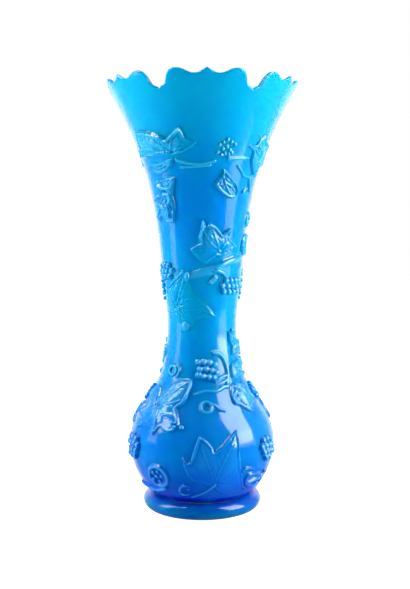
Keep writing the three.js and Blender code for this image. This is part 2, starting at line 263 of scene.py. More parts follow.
def groove_depth(height):
    """Depth of the groove that parts the bulb from the foot, under a small moulded lip."""
    recess = GROOVE_DEPTH * (1 - np.tanh((height - GROOVE_TOP) / GROOVE_SOFTNESS)) / 2
    lip = GROOVE_LIP * np.exp(-((height - GROOVE_TOP - GROOVE_LIP_RISE) / GROOVE_LIP_WIDTH) ** 2)
    return recess - lip


def wall_ring(height, depth_share):
    """A ring of the body's wall, from its outer face (0) to its inner face (1).

    Above the flare it is squeezed down to stay under the rim, and the wall thins towards the lip.
    """
    level = height - flare_share(height) * (OVERALL_HEIGHT - rim_height(COLUMN_ANGLES))
    _, radius, across, _ = OUTLINE.at_height(level)
    if depth_share == 0:
        radius = radius - groove_depth(level)
    wall = WALL + (LIP_WALL - WALL) * flare_share(level)
    return polar(COLUMN_ANGLES, radius - depth_share * wall / across, level)


def make_body():
    """The hollow body as one skin: under it, up its outer wall, over the lip and down the inner wall."""
    lip = LIP_WALL / 2
    lip_height = OVERALL_HEIGHT - lip
    low_rows = np.linspace(BASE_HEIGHT, FINE_ROWS_TOP, FINE_ROWS)
    high_rows = np.linspace(FINE_ROWS_TOP, lip_height, OUTER_ROWS)[1:]
    outer = [wall_ring(height, 0) for height in (*low_rows, *high_rows)]
    crest = []
    for turn in np.linspace(0, math.pi, LIP_STEPS + 1)[1:-1]:
        crest.append(wall_ring(lip_height + lip * math.sin(turn), (1 - math.cos(turn)) / 2))
    floor_height = BASE_HEIGHT + FLOOR_THICKNESS
    corner_height = floor_height + FLOOR_CORNER
    inner = [wall_ring(height, 1) for height in np.linspace(lip_height, corner_height, INNER_ROWS)]
    floor_radius = np.hypot(*inner[-1][0, :2]) - FLOOR_CORNER
    corner = []
    for turn in np.linspace(0, math.pi / 2, CORNER_STEPS + 1)[1:]:
        radius = floor_radius + FLOOR_CORNER * math.cos(turn)
        corner.append(level_ring(COLUMN_ANGLES, radius, corner_height - FLOOR_CORNER * math.sin(turn)))
    under = []
    for radius, rise in UNDERSIDE:
        under.append(level_ring(COLUMN_ANGLES, radius, BASE_HEIGHT + UNDERSIDE_RISE * rise))
    rings = under + outer + crest + inner + corner
    points = np.concatenate([[(0, 0, BASE_HEIGHT + UNDERSIDE_RISE)], *rings, [(0, 0, floor_height)]])
    return mesh_object("body_glass", points, capped_faces(len(rings), BODY_COLUMNS))


def make_foot():
    """The foot ring, round outside and inside and flat on its top and bottom."""
    rounding = FOOT_HEIGHT / 2
    outer = FOOT_DIAMETER / 2 - rounding
    angles = np.arange(FOOT_COLUMNS) * 2 * math.pi / FOOT_COLUMNS
    rings = []
    for centre, start in ((outer, -90), (outer - FOOT_FLAT, 90)):
        for step in range(FOOT_STEPS + 1):
            turn = math.radians(start + step * 180 / FOOT_STEPS)
            radius = centre + rounding * math.cos(turn)
            rings.append(level_ring(angles, radius, rounding + rounding * math.sin(turn)))
    faces = ring_faces(len(rings), FOOT_COLUMNS, looped=True)
    return mesh_object("foot_ring_glass", np.concatenate(rings), faces)


# Relief: drawn flat in millimetres, with x to the right, y up the glass and z out of it, round a place
# on the vase in degrees from the front and height, and wrapped on the glass after that

# How far the relief's underside stands off the glass, so that the two never flicker
SEAT = 0.03
CURVE_STEPS = 24
LEAF_PATH_SPACING = 0.8
STEM_PATH_SPACING = 0.7


def flat_place(origin, place):
    home_run = OUTLINE.run_at(origin[1])
    home_radius = OUTLINE.at_run(home_run)[1]
    run = OUTLINE.run_at(place[1])
    radius = (home_radius + OUTLINE.at_run(run)[1]) / 2
    return np.array([math.radians(place[0] - origin[0]) * radius, run - home_run])


def flat_places(origin, places):
    return np.array([flat_place(origin, place) for place in places])


def wrap(points, origin):
    """Flat points turned into places on the vase."""
    points = np.asarray(points, float)
    home_run = OUTLINE.run_at(origin[1])
    home_radius = OUTLINE.at_run(home_run)[1]
    height, radius, across, up = OUTLINE.at_run(home_run + points[:, 1])
    angle = math.radians(origin[0]) + points[:, 0] / ((home_radius + radius) / 2)
    lift = points[:, 2] + SEAT
    return polar(angle, radius + lift * across, height + lift * up)


def smooth_path(points, spacing):
    """Evenly spaced points on a smooth open curve through the given ones."""
    curve = catmull_rom(points, CURVE_STEPS) if len(points) > 2 else np.array(points, float)
    run = run_along(curve)
    steps = max(2, int(round(run[-1] / spacing)))
    marks = np.linspace(0, run[-1], steps + 1)
    return np.stack([np.interp(marks, run, row) for row in curve.T], -1)


# Leaves

EDGE_SPACING = 0.5
EDGE_BOW = 0.05
EDGE_SOFTNESS = 0.45


def leafy_edge(corners):
    """Closed leaf outline: sides bowed a little outwards, and corners softened as pressed glass is."""
    after = np.roll(corners, -1, axis=0)
    if np.sum(corners[:, 0] * after[:, 1] - after[:, 0] * corners[:, 1]) < 0:
        corners = corners[::-1]
    points = []
    for start, end in zip(corners, np.roll(corners, -1, axis=0)):
        side = end - start
        length = np.hypot(*side)
        outward = np.array([side[1], -side[0]]) / length
        steps = max(2, int(round(length / EDGE_SPACING)))
        share = np.arange(steps)[:, None] / steps
        points.append(start + side * share + outward * EDGE_BOW * length * 4 * share * (1 - share))
    edge = np.concatenate(points)
    reach = int(math.ceil(3 * EDGE_SOFTNESS / EDGE_SPACING))
    shifts = np.arange(-reach, reach + 1)
    weights = np.exp(-0.5 * (shifts * EDGE_SPACING / EDGE_SOFTNESS) ** 2)
    soft = sum(weight * np.roll(edge, shift, axis=0) for weight, shift in zip(weights, shifts))
    return soft / weights.sum()


def distance_to(points, path, closed=False):
    """Distance from each point to a path, and the place of the nearest spot along it, from 0 to 1."""
    starts = path if closed else path[:-1]
    ends = np.roll(path, -1, axis=0) if closed else path[1:]
    side = ends - starts
    square = (side ** 2).sum(1)
    best = np.full(len(points), np.inf)
    place = np.zeros(len(points))
    for number in range(len(starts)):
        off = points - starts[number]
        share = np.clip(off @ side[number] / max(square[number], 1e-12), 0, 1)
        gap = np.hypot(*(off - share[:, None] * side[number]).T)
        nearer = gap < best
        best[nearer] = gap[nearer]
        place[nearer] = (number + share[nearer]) / len(starts)
    return best, place


def inside(points, loop):
    """Which points lie inside a closed loop."""
    x, y = points.T
    result = np.zeros(len(points), bool)
    for (x0, y0), (x1, y1) in zip(loop, np.roll(loop, -1, axis=0)):
        if y0 != y1:
            crossing = (y > min(y0, y1)) & (y <= max(y0, y1))
            result ^= crossing & (x < x0 + (y - y0) * (x1 - x0) / (y1 - y0))
    return result


# The rounded rim, and the height, distance from the edge and width of the bead and the valley in it
LEAF_RIM = 1.7
LEAF_RIM_WIDTH = 1.5
LEAF_BEAD = (0.42, 1.4, 0.45)
LEAF_VALLEY = (-0.45, 2.6, 0.7)
# The pillow's height, its distance from the edge and the run over which it rises
LEAF_PILLOW = 0.9
PILLOW_START = 2
PILLOW_RUN = 5
# The height and width of a vein's ridge and of the valley that it stands in
VEIN_RIDGE = 0.95
VEIN_RIDGE_WIDTH = 0.72
VEIN_VALLEY = 0.6
VEIN_VALLEY_WIDTH = 2.6
# A vein fades towards the leaf's edge, and over the last quarter of its own length
VEIN_MARGIN = 0.4
VEIN_MARGIN_RUN = 1.4
VEIN_END = 1.06
VEIN_FADE = 0.25
FOLD_WIDTH = 0.95
# Height at which the leaf's paler crest, a painted highlight, is full
LEAF_CREST = 3.2


def leaf_heights(points, edge_gap, veins, ridges, faint):
    """Rounded rim with a bead, pillows between the veins, and the veins as fine ridges in soft valleys.

    Ridges are thick bright folds. Faint places were pressed so lightly that they run into the glass.
    """
    share = np.clip(edge_gap / LEAF_RIM_WIDTH, 0, 1)
    height = LEAF_RIM * (0.45 * share + 0.55 * np.sqrt(np.clip(1 - (1 - share) ** 2, 0, 1)))
    for rise, place, width in (LEAF_BEAD, LEAF_VALLEY):
        height += rise * np.exp(-((edge_gap - place) / width) ** 2)
    height += LEAF_PILLOW * np.clip((edge_gap - PILLOW_START) / PILLOW_RUN, 0, 1) ** 0.8
    inner = np.clip((edge_gap - VEIN_MARGIN) / VEIN_MARGIN_RUN, 0, 1)
    for path, width, size in veins:
        gap, place = distance_to(points, path)
        fade = np.clip((VEIN_END - place) / VEIN_FADE, 0, 1)
        height -= VEIN_VALLEY * size * inner * fade * np.exp(-(gap / (VEIN_VALLEY_WIDTH * width)) ** 2)
        height += VEIN_RIDGE * size * inner * fade * np.exp(-(gap / (VEIN_RIDGE_WIDTH * width)) ** 2)
    for path, size in ridges:
        gap, _ = distance_to(points, path)
        height += size * np.exp(-(gap / FOLD_WIDTH) ** 2)
    for place, reach, strength in faint:
        height *= 1 - strength * np.exp(-(np.hypot(*(points - place).T) / reach) ** 2)
    return height


# Width and size of a main vein and of the finer ones that leave it, which only the longer veins have
VEIN_WIDTH = 0.8
SIDE_VEIN_WIDTH = 0.6
SIDE_VEIN_SIZE = 0.45
BRANCHED_LENGTH = 9
SIDE_VEIN_SPACING = 4.2
SIDE_VEIN_REACH = 5.0
SIDE_VEIN_TAPER = 0.55
SIDE_VEIN_TILT = 46
SIDE_VEIN_BEND = 0.25


def side_veins(path):
    """Finer veins that leave a main vein to both sides."""
    run = run_along(path)
    veins = []
    for mark in np.arange(SIDE_VEIN_SPACING, run[-1] - 3, SIDE_VEIN_SPACING):
        place = min(np.searchsorted(run, mark), len(path) - 2)
        start = path[place]
        way = path[place + 1] - start
        way = way / np.hypot(*way)
        size = SIDE_VEIN_REACH * (1 - SIDE_VEIN_TAPER * mark / run[-1])
        for side in (1, -1):
            turn = math.radians(side * SIDE_VEIN_TILT)
            branch = np.array([
                way[0] * math.cos(turn) - way[1] * math.sin(turn),
                way[0] * math.sin(turn) + way[1] * math.cos(turn),
            ])
            end = start + (branch * size + way * size * SIDE_VEIN_BEND)
            veins.append(smooth_path([start, start + branch * size * 0.5, end], LEAF_PATH_SPACING))
    return veins


# Rows of points inside a leaf's edge, by their distance from it, and the grid of points further in
EDGE_ROWS = (0.12, 0.35, 0.65, 1.0, 1.4, 1.8)
GRID = 0.62
GRID_ROWS = GRID * 0.866
GRID_MARGIN = 2.15


def leaf_mesh(edge):
    """Points and triangles that fill a leaf's outline."""
    inward = np.roll(edge, -1, axis=0) - np.roll(edge, 1, axis=0)
    inward = np.stack([-inward[:, 1], inward[:, 0]], -1) / np.hypot(*inward.T)[:, None]
    rows = [edge]
    for depth in EDGE_ROWS:
        row = edge + inward * depth
        gap, _ = distance_to(row, edge, closed=True)
        rows.append(row[(gap > 0.93 * depth) & inside(row, edge)])
    low, high = edge.min(0), edge.max(0)
    xs = np.arange(low[0], high[0], GRID)
    ys = np.arange(low[1], high[1], GRID_ROWS)
    grid = np.array([(x + (row % 2) * GRID / 2, y) for row, y in enumerate(ys) for x in xs])
    grid = grid[inside(grid, edge)]
    gap, _ = distance_to(grid, edge, closed=True)
    rows.append(grid[gap > GRID_MARGIN])
    flat = [Vector(point) for point in np.concatenate(rows)]
    count = len(edge)
    loop = [(place, (place + 1) % count) for place in range(count)]
    points, _, faces, _, _, _ = delaunay_2d_cdt(flat, loop, [], 1, 1e-6)
    return np.array([tuple(point) for point in points]), faces


def make_leaf(name, at, corners, veins, root=None, ridges=(), faint=(), rise=1.0, vein_rise=1.0):
    """A leaf as a closed skin: its relief on top, and a flat underside that shares its edge.

    A root is where all its veins start.
    """
    edge = leafy_edge(flat_places(at, corners))
    if root:
        veins = [[root, *vein] for vein in veins]
    main_veins = [smooth_path(flat_places(at, vein), LEAF_PATH_SPACING) for vein in veins]
    all_veins = [(path, VEIN_WIDTH, vein_rise) for path in main_veins]
    for path in main_veins:
        if np.hypot(*(path[-1] - path[0])) > BRANCHED_LENGTH:
            finer = [(branch, SIDE_VEIN_WIDTH, SIDE_VEIN_SIZE * vein_rise) for branch in side_veins(path)]
            all_veins += finer
    folds = [(smooth_path(flat_places(at, route), LEAF_PATH_SPACING), size) for route, size in ridges]
    pressed = [(flat_place(at, place), reach, strength) for place, reach, strength in faint]
    points, faces = leaf_mesh(edge)
    gap, _ = distance_to(points, edge, closed=True)
    on_edge = gap < 1e-4
    height = rise * leaf_heights(points, gap, all_veins, folds, pressed)
    height[on_edge] = 0
    hidden = np.where(~on_edge)[0]
    below = np.arange(len(points))
    below[hidden] = len(points) + np.arange(len(hidden))
    underside = [[below[corner] for corner in reversed(face)] for face in faces]
    top = np.column_stack([points, height])
    bottom = np.column_stack([points[hidden], np.zeros(len(hidden))])
    skin = np.concatenate([top, bottom])
    piece = mesh_object(name, wrap(skin, at), [*faces, *underside])
    keep_crest(piece, skin[:, 2], LEAF_CREST)
    mark_sharp(piece, on_edge)
    return piece


def mark_sharp(piece, flags):
    """Sharp edges where both ends carry a flag."""
    for edge in piece.data.edges:
        start, end = edge.vertices
        if start < len(flags) and end < len(flags) and flags[start] and flags[end]:
            edge.use_edge_sharp = True


# Stems, tendrils, buds and berries

TUBE_SIDES = 14
# Angles of the rings that round a tube's end
END_TURNS = (0.25, 0.75, 1.2)
BALL_ROWS = 10
BALL_SIDES = 16


def tube(path, radii, lift, flatness):
    """A round-ended tube along a flat path, as points and faces."""
    way = np.gradient(path, axis=0)
    way = way / np.hypot(*way.T)[:, None]
    angles = np.arange(TUBE_SIDES) * 2 * math.pi / TUBE_SIDES
    rings = []
    for place, (point, direction, radius) in enumerate(zip(path, way, radii)):
        normal = np.array([-direction[1], direction[0]])
        turns = [(0, 1)]
        if place == 0:
            turns = [(-math.cos(turn), math.sin(turn)) for turn in END_TURNS] + turns
        if place == len(path) - 1:
            turns = turns + [(math.cos(turn), math.sin(turn)) for turn in END_TURNS[::-1]]
        for along, across in turns:
            middle = point + direction * along * radius
            flat = middle + np.outer(np.cos(angles) * radius * across, normal)
            rings.append(np.column_stack([flat, lift + np.sin(angles) * radius * across * flatness]))
    points = np.concatenate(rings)
    faces = ring_faces(len(rings), TUBE_SIDES)
    faces.append(list(range(TUBE_SIDES))[::-1])
    faces.append(list(range(len(points) - TUBE_SIDES, len(points))))
    return points, faces


def ball(centre, radii, lift):
    """A rounded berry or bud, as points and faces."""
    points = [(centre[0], centre[1], lift - radii[2])]
    for row in range(1, BALL_ROWS):
        turn = math.pi * row / BALL_ROWS
        for side in range(BALL_SIDES):
            angle = 2 * math.pi * side / BALL_SIDES
            points.append((
                centre[0] + radii[0] * math.sin(turn) * math.cos(angle),
                centre[1] + radii[1] * math.sin(turn) * math.sin(angle),
                lift - radii[2] * math.cos(turn),
            ))
    points.append((centre[0], centre[1], lift + radii[2]))
    return np.array(points), capped_faces(BALL_ROWS - 1, BALL_SIDES)


def melt(name, parts, at, voxel, rounds):
    """Parts fused into one skin, cut flat on the glass and wrapped on it."""
    points = []
    faces = []
    for part_points, part_faces in parts:
        faces += [[corner + len(points) for corner in face] for face in part_faces]
        points += part_points.tolist()
    mesh = bpy.data.meshes.new(name + "_parts")
    mesh.from_pydata(points, [], faces)
    draft = new_object(name + "_draft", mesh)
    fuse = draft.modifiers.new("fuse", "REMESH")
    fuse.mode = "VOXEL"
    fuse.voxel_size = voxel
    soften = draft.modifiers.new("soften", "SMOOTH")
    soften.factor = 0.5
    soften.iterations = rounds
    ready = draft.evaluated_get(bpy.context.evaluated_depsgraph_get())
    melted = ready.to_mesh()
    skin = np.array([vertex.co[:] for vertex in melted.vertices])
    skin_faces = [list(face.vertices) for face in melted.polygons]
    ready.to_mesh_clear()
    bpy.data.objects.remove(draft)
    bpy.data.meshes.remove(mesh)
    skin[:, 2] = np.maximum(skin[:, 2], 0)
    piece = mesh_object(name, wrap(skin, at), skin_faces)
    keep_crest(piece, skin[:, 2], skin[:, 2].max())
    return piece


# Height of a tube's or berry's middle over the glass, and the low fillet along a tube's sides
TUBE_LIFT = 0.45
BERRY_LIFT = 0.35
BUD_LIFT = 0.05
FILLET_WIDTH = 1.7
FILLET_FLATNESS = 0.2
RING_POINTS = 40
# Height of a bud over its middle, for its narrower radius
BUD_ROUNDNESS = 0.9
STEM_VOXEL = 0.3
STEM_SOFTENING = 3
BERRY_VOXEL = 0.28
BERRY_SOFTENING = 1


def seated_tube(path, radii, lift, flatness=1.0):
    """A tube, and the low fillet of glass along both its sides."""
    return [
        tube(path, radii, lift, flatness),
        tube(path, radii * FILLET_WIDTH, lift - TUBE_LIFT, FILLET_FLATNESS),
    ]


def make_stems(name, at, routes=(), buds=(), ring=0, ring_radius=1.25, lift=TUBE_LIFT, flatness=1.0):
    """Tubes along routes with a radius at each end, a closed ring round the place, and round buds."""
    parts = []
    for route, start_radius, end_radius in routes:
        path = smooth_path(flat_places(at, route), STEM_PATH_SPACING)
        parts += seated_tube(path, np.linspace(start_radius, end_radius, len(path)), lift, flatness)
    if ring:
        turns = np.linspace(0, 2 * math.pi, RING_POINTS, endpoint=False)
        circle = np.stack([np.cos(turns), np.sin(turns)], -1) * ring
        overlapped = np.concatenate([circle, circle[:2]])
        parts += seated_tube(overlapped, np.full(len(overlapped), ring_radius), lift)
    for place, width, height, *thickness in buds:
        rise = thickness[0] if thickness else BUD_ROUNDNESS * min(width, height)
        parts.append(ball(flat_place(at, place), (width, height, rise), lift + BUD_LIFT))
    return melt(name, parts, at, STEM_VOXEL, STEM_SOFTENING)


def make_grapes(name, at, radius, berries, lift=BERRY_LIFT):
    parts = [ball(flat_place(at, berry), [radius] * 3, lift) for berry in berries]
    return melt(name, parts, at, BERRY_VOXEL, BERRY_SOFTENING)


# Pieces whose copies on the back half would meet other pieces
FRONT_ONLY = {
    "base_bud", "base_curl", "neck_bud", "mouth_twig", "mouth_stems", "shoulder_right_grapes",
    "neck_side_leaf", "neck_side_ring",
}


def place_piece(piece, slot, node=None):
    """Gives a piece its glass, hangs it on the root, and hides the node that it stands for."""
    piece.data.materials.append(glasses[slot])
    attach(piece, "root")
    if node:
        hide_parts(node)


def add_relief(make, name, drawing, slot, replaces=True):
    """A piece on the front half, and its copy on the back half, turned round the vase's axis."""
    pieces = {"front": make(f"front_{name}_glass", **drawing)}
    if name not in FRONT_ONLY:
        mesh = pieces["front"].data.copy()
        mesh.transform(Matrix.Rotation(math.pi, 4, "Z"))
        pieces["back"] = new_object(f"back_{name}_glass", mesh)
    for side, piece in pieces.items():
        place_piece(piece, slot, f"{side}_{name}" if replaces else None)


def add_leaf(name, **drawing):
    add_relief(make_leaf, name, drawing, "leaf_glass")


def add_grapes(name, **drawing):
    add_relief(make_grapes, name, drawing, "grape_glass")


def add_stems(name, **drawing):
    add_relief(make_stems, name, drawing, "stem_glass")


def add_detail(name, **drawing):
    add_relief(make_stems, name, drawing, "stem_glass", replaces=False)


# Camera, at the photograph's place

CAMERA_TILT = 4.14


def add_camera():
    data = bpy.data.cameras.new("camera")
    data.sensor_width = 36
    data.lens = 55.92
    camera = new_object("camera", data)
    camera.location = (0.00214, -0.6489, 0.1987)
    camera.rotation_euler = (math.radians(90 - CAMERA_TILT), 0, 0)
    scene.camera = camera


# Materials

# Green and blue of the glass by height, as a share of the overall height. It holds no red. Its lowest stops,
# round the groove over the foot, go nearly black in green: partly the thick glass at the joint, partly
# painted shade of the groove.
GLASS_STOPS = [
    (0.035, 0.02, 0.52), (0.05, 0.02, 0.58), (0.062, 0.08, 0.61), (0.1, 0.15, 0.65), (0.15, 0.22, 0.68),
    (0.2, 0.22, 0.71), (0.27, 0.25, 0.73), (0.35, 0.295, 0.76), (0.45, 0.355, 0.79), (0.55, 0.345, 0.8),
    (0.72, 0.275, 0.78), (0.8, 0.31, 0.76), (0.85, 0.37, 0.75), (1, 0.48, 0.72),
]
# The foot's top stop, by the groove, is darker: painted shade of the groove
FOOT_STOPS = [(0, 0.13, 0.44), (0.02, 0.165, 0.47), (0.035, 0.085, 0.48)]
RELIEF_STOPS = [
    (0.05, 0.08, 0.68), (0.1, 0.14, 0.75), (0.15, 0.215, 0.74), (0.2, 0.235, 0.75), (0.27, 0.275, 0.76),
    (0.35, 0.33, 0.78), (0.45, 0.4, 0.8), (0.55, 0.39, 0.81), (0.72, 0.33, 0.8), (0.85, 0.42, 0.78),
    (1, 0.51, 0.75),
]
CORD_COLOUR = (0.03, 0.6, 0.95)
CORD_STRENGTH = 0.1
# Pale colours that the relief's crests are drawn towards: painted highlights on the leaves, stems and
# berries
LEAF_CREST_PAINTED_HIGHLIGHT = (0.08, 0.66, 0.95)
BERRY_CREST_PAINTED_HIGHLIGHT = (0.15, 0.72, 0.98)

# How far light spreads in the glass, by colour, and the distance in metres that it is a share of
BODY_SPREAD = ((0.01, 0.2, 1.0), 0.006)
RELIEF_SPREAD = ((0.1, 0.3, 0.35), 0.001)

# Each glass: its colours and spread, its roughness, coat and gloss level, and the painted highlight on the
# relief's crests: from which share of their height they are paler, how much, and towards which colour
GLASSES = {
    "body_glass": (GLASS_STOPS, BODY_SPREAD, 0.12, 0.5, 0.6),
    "foot_glass": (FOOT_STOPS, BODY_SPREAD, 0.1, 0.5, 0.6),
    "leaf_glass": (RELIEF_STOPS, RELIEF_SPREAD, 0.08, 0.8, 0.8, (0.3, 0.35, LEAF_CREST_PAINTED_HIGHLIGHT)),
    "grape_glass": (RELIEF_STOPS, RELIEF_SPREAD, 0.06, 1.0, 1.0, (0.8, 0.5, BERRY_CREST_PAINTED_HIGHLIGHT)),
    "stem_glass": (RELIEF_STOPS, RELIEF_SPREAD, 0.07, 0.9, 0.9, (0.4, 0.4, LEAF_CREST_PAINTED_HIGHLIGHT)),
}
GLASS_IOR = 1.6
COAT_ROUGHNESS = 0.03
UNEVEN_GLOSS = 0.03

# Patterns in the glass: their scale, and how far the colour by height wanders in metres
WANDER_SCALE = 18
WANDER = 0.006
CORD_SCALE = 55
CORD_STRETCH = 0.16
CORD_START = 0.42
CORD_FULL = 0.68
UNEVEN_SCALE = 90
RIPPLE_SCALE = 30
RIPPLE = 0.05
RIPPLE_DISTANCE = 0.002


class Nodes:
    """Short calls for building the node tree of a material or of the world."""

    def __init__(self, owner):
        owner.use_nodes = True
        self.tree = owner.node_tree
        self.shader = self.tree.nodes.get("Principled BSDF")

    def link(self, source, target):
        self.tree.links.new(source, target)

    def add(self, kind, links=None, **values):
        """A node of a kind, with its settings and inputs by name, and links into its inputs."""
        node = self.tree.nodes.new("ShaderNode" + kind)
        for name, value in values.items():
            if hasattr(node, name):
                setattr(node, name, value)
            else:
                node.inputs[name.replace("_", " ")].default_value = value
        for target, source in (links or {}).items():
            self.link(source, node.inputs[target])
        return node

    def into_shader(self, name, source):
        self.link(source, self.shader.inputs[name])

    def set_shader(self, **values):
        for name, value in values.items():
            self.shader.inputs[name.replace("_", " ")].default_value = value

    def ramp(self, source, stops):
        """A colour ramp with stops of a position and a colour or a grey value."""
        node = self.add("ValToRGB", {0: source})
        elements = node.color_ramp.elements
        while len(elements) < len(stops):
            elements.new(0.5)
        for element, (position, colour) in zip(elements, stops):
            element.position = position
            element.color = (*colour, 1) if isinstance(colour, tuple) else (colour, colour, colour, 1)
        return node.outputs[0]

    def noise(self, place, scale, detail=2.0):
        return self.add("TexNoise", {"Vector": place}, Scale=scale, Detail=detail).outputs[0]

    def towards(self, colour, other, share):
        """A colour drawn towards a fixed one by a share."""
        node = self.add("Mix", {0: share, 6: colour}, data_type="RGBA")
        node.inputs[7].default_value = (*other, 1)
        return node.outputs[2]


def glass_material(name, stops, spread, roughness, coat, gloss_level, crest=None):
    """Opaline glass: colour by height, faint milky cords, uneven gloss and a fire-polished ripple, and on
    the relief a painted highlight on its crests.
    """
    material = bpy.data.materials.new(name)
    nodes = Nodes(material)
    place = nodes.add("TexCoord").outputs["Object"]
    height = nodes.add("SeparateXYZ", {0: place}).outputs["Z"]
    cloud = nodes.noise(place, WANDER_SCALE)
    wander = nodes.add("MapRange", {"Value": cloud}, To_Min=-WANDER, To_Max=WANDER).outputs[0]
    level = nodes.add("Math", {0: height, 1: wander}, operation="ADD").outputs[0]
    share = nodes.add("MapRange", {"Value": level}, From_Max=OVERALL_HEIGHT * MM).outputs[0]
    colour = nodes.ramp(share, [(stop, (0, green, blue)) for stop, green, blue in stops])
    drawn = nodes.add("Mapping", {"Vector": place}, Scale=(1, 1, CORD_STRETCH)).outputs[0]
    streaks = nodes.noise(drawn, CORD_SCALE, 3)
    cord = nodes.ramp(streaks, [(CORD_START, 0.0), (CORD_FULL, CORD_STRENGTH)])
    colour = nodes.towards(colour, CORD_COLOUR, cord)
    # The relief's crests are drawn paler towards a light colour: a painted highlight
    if crest:
        start, strength, painted_highlight_colour = crest
        lift = nodes.add("Attribute", attribute_name="crest").outputs["Fac"]
        top = nodes.add("MapRange", {"Value": lift}, From_Min=start, To_Max=strength).outputs[0]
        colour = nodes.towards(colour, painted_highlight_colour, top)
    nodes.into_shader("Base Color", colour)
    uneven = nodes.noise(place, UNEVEN_SCALE, 3)
    least = roughness - UNEVEN_GLOSS
    most = roughness + UNEVEN_GLOSS
    gloss = nodes.add("MapRange", {"Value": uneven}, To_Min=least, To_Max=most).outputs[0]
    nodes.into_shader("Roughness", gloss)
    ripple = nodes.noise(place, RIPPLE_SCALE, 1)
    bump = nodes.add("Bump", {"Height": ripple}, Strength=RIPPLE, Distance=RIPPLE_DISTANCE).outputs[0]
    nodes.into_shader("Normal", bump)
    nodes.set_shader(IOR=GLASS_IOR, Specular_IOR_Level=gloss_level)
    nodes.set_shader(Coat_Weight=coat, Coat_Roughness=COAT_ROUGHNESS)
    nodes.set_shader(Subsurface_Weight=1.0, Subsurface_Radius=spread[0], Subsurface_Scale=spread[1])
    return material


# Stage

# Lamps: name, azimuth and elevation in degrees, distance, height aimed at and size in metres, radiance,
# and whether the glass mirrors it
LAMPS = [
    ("window_box", 69, 28, 0.85, 0.07, (0.58, 0.8), 4.0, True),
    ("right_strip", 73, 0, 0.45, 0.13, (0.22, 0.18), 1.2, True),
    ("left_high", -66, 62, 0.8, 0.09, (0.3, 0.3), 5.2, True),
    ("left_box", -78, 36, 0.8, 0.09, (0.26, 0.6), 2.8, True),
    ("left_strip", -82, 0, 0.5, 0.16, (0.15, 0.2), 0.9, True),
    ("right_fill", 98, 4, 0.5, 0.06, (0.4, 0.4), 7.5, False),
    ("left_fill", -98, 4, 0.5, 0.06, (0.4, 0.4), 9.5, False),
    ("front_fill", 0, 20, 1.0, 0.14, (0.6, 0.6), 1.1, False),
]
# Grey of the studio's walls from behind the camera to behind the vase, where it is white
WORLD_LEVEL = 0.5
WORLD_STOPS = [(0.0, 0.0), (0.3, 0.02), (0.5, 0.1), (0.7, 0.2), (0.84, 0.45), (0.94, 2.0)]
# Half the side of the floor in millimetres, and how strongly the camera sees it glow
FLOOR_SIZE = 3000
FLOOR_GLOW = 0.93


def add_lamp(name, azimuth, elevation, distance, aim, size, radiance, mirrored):
    """A soft box placed by its direction as seen from a height on the vase's axis.

    One that isn't mirrored only fills in soft light, as a large distant panel would.
    """
    rise = math.radians(elevation)
    place = polar(math.radians(azimuth), distance * math.cos(rise), aim + distance * math.sin(rise))
    data = bpy.data.lights.new(name, "AREA")
    data.shape = "RECTANGLE"
    data.size, data.size_y = size
    data.energy = radiance * math.pi * size[0] * size[1]
    lamp = new_object(name, data)
    lamp.location = place
    lamp.rotation_euler = (Vector((0, 0, aim)) - Vector(place)).to_track_quat("-Z", "Y").to_euler()
    lamp.visible_glossy = mirrored


def add_floor():
    """A pale floor that keeps its shadow and that the camera sees as white as the backdrop."""
    size = FLOOR_SIZE
    corners = [(-size, -size, 0), (size, -size, 0), (size, size, 0), (-size, size, 0)]
    floor = mesh_object("floor", corners, [(0, 1, 2, 3)])
    material = bpy.data.materials.new("floor")
    nodes = Nodes(material)
    seen = nodes.add("LightPath").outputs["Is Camera Ray"]
    glow = nodes.add("MapRange", {"Value": seen}, To_Max=FLOOR_GLOW).outputs[0]
    nodes.into_shader("Emission Strength", glow)
    nodes.set_shader(Emission_Color=(1, 1, 1, 1), Base_Color=(0.8, 0.8, 0.8, 1), Roughness=0.9)
    floor.data.materials.append(material)
    floor.visible_glossy = False


def add_world():
    """Studio walls, brighter towards the back; the camera and clear glass see them as plain white."""
    world = bpy.data.worlds.new("studio")
    scene.world = world
    nodes = Nodes(world)
    walls = nodes.tree.nodes["Background"]
    walls.inputs["Strength"].default_value = WORLD_LEVEL
    way = nodes.add("TexCoord").outputs["Generated"]
    back = nodes.add("SeparateXYZ", {0: way}).outputs["Y"]
    depth = nodes.add("MapRange", {"Value": back}, From_Min=-1).outputs[0]
    nodes.link(nodes.ramp(depth, WORLD_STOPS), walls.inputs["Color"])
    white = nodes.add("Background", Color=(1, 1, 1, 1))
    path = nodes.add("LightPath").outputs
    rays = {0: path["Is Camera Ray"], 1: path["Is Transmission Ray"]}
    direct = nodes.add("Math", rays, operation="MAXIMUM")
    mix = nodes.add("MixShader", {0: direct.outputs[0], 1: walls.outputs[0], 2: white.outputs[0]})
    nodes.link(mix.outputs[0], nodes.tree.nodes["World Output"].inputs["Surface"])


scene.view_settings.view_transform = "Standard"
add_camera()
add_floor()
add_world()
for lamp in LAMPS:
    add_lamp(*lamp)

glasses = {name: glass_material(name, *look) for name, look in GLASSES.items()}
place_piece(make_body(), "body_glass", "vase_body")
place_piece(make_foot(), "foot_glass", "foot_ring")

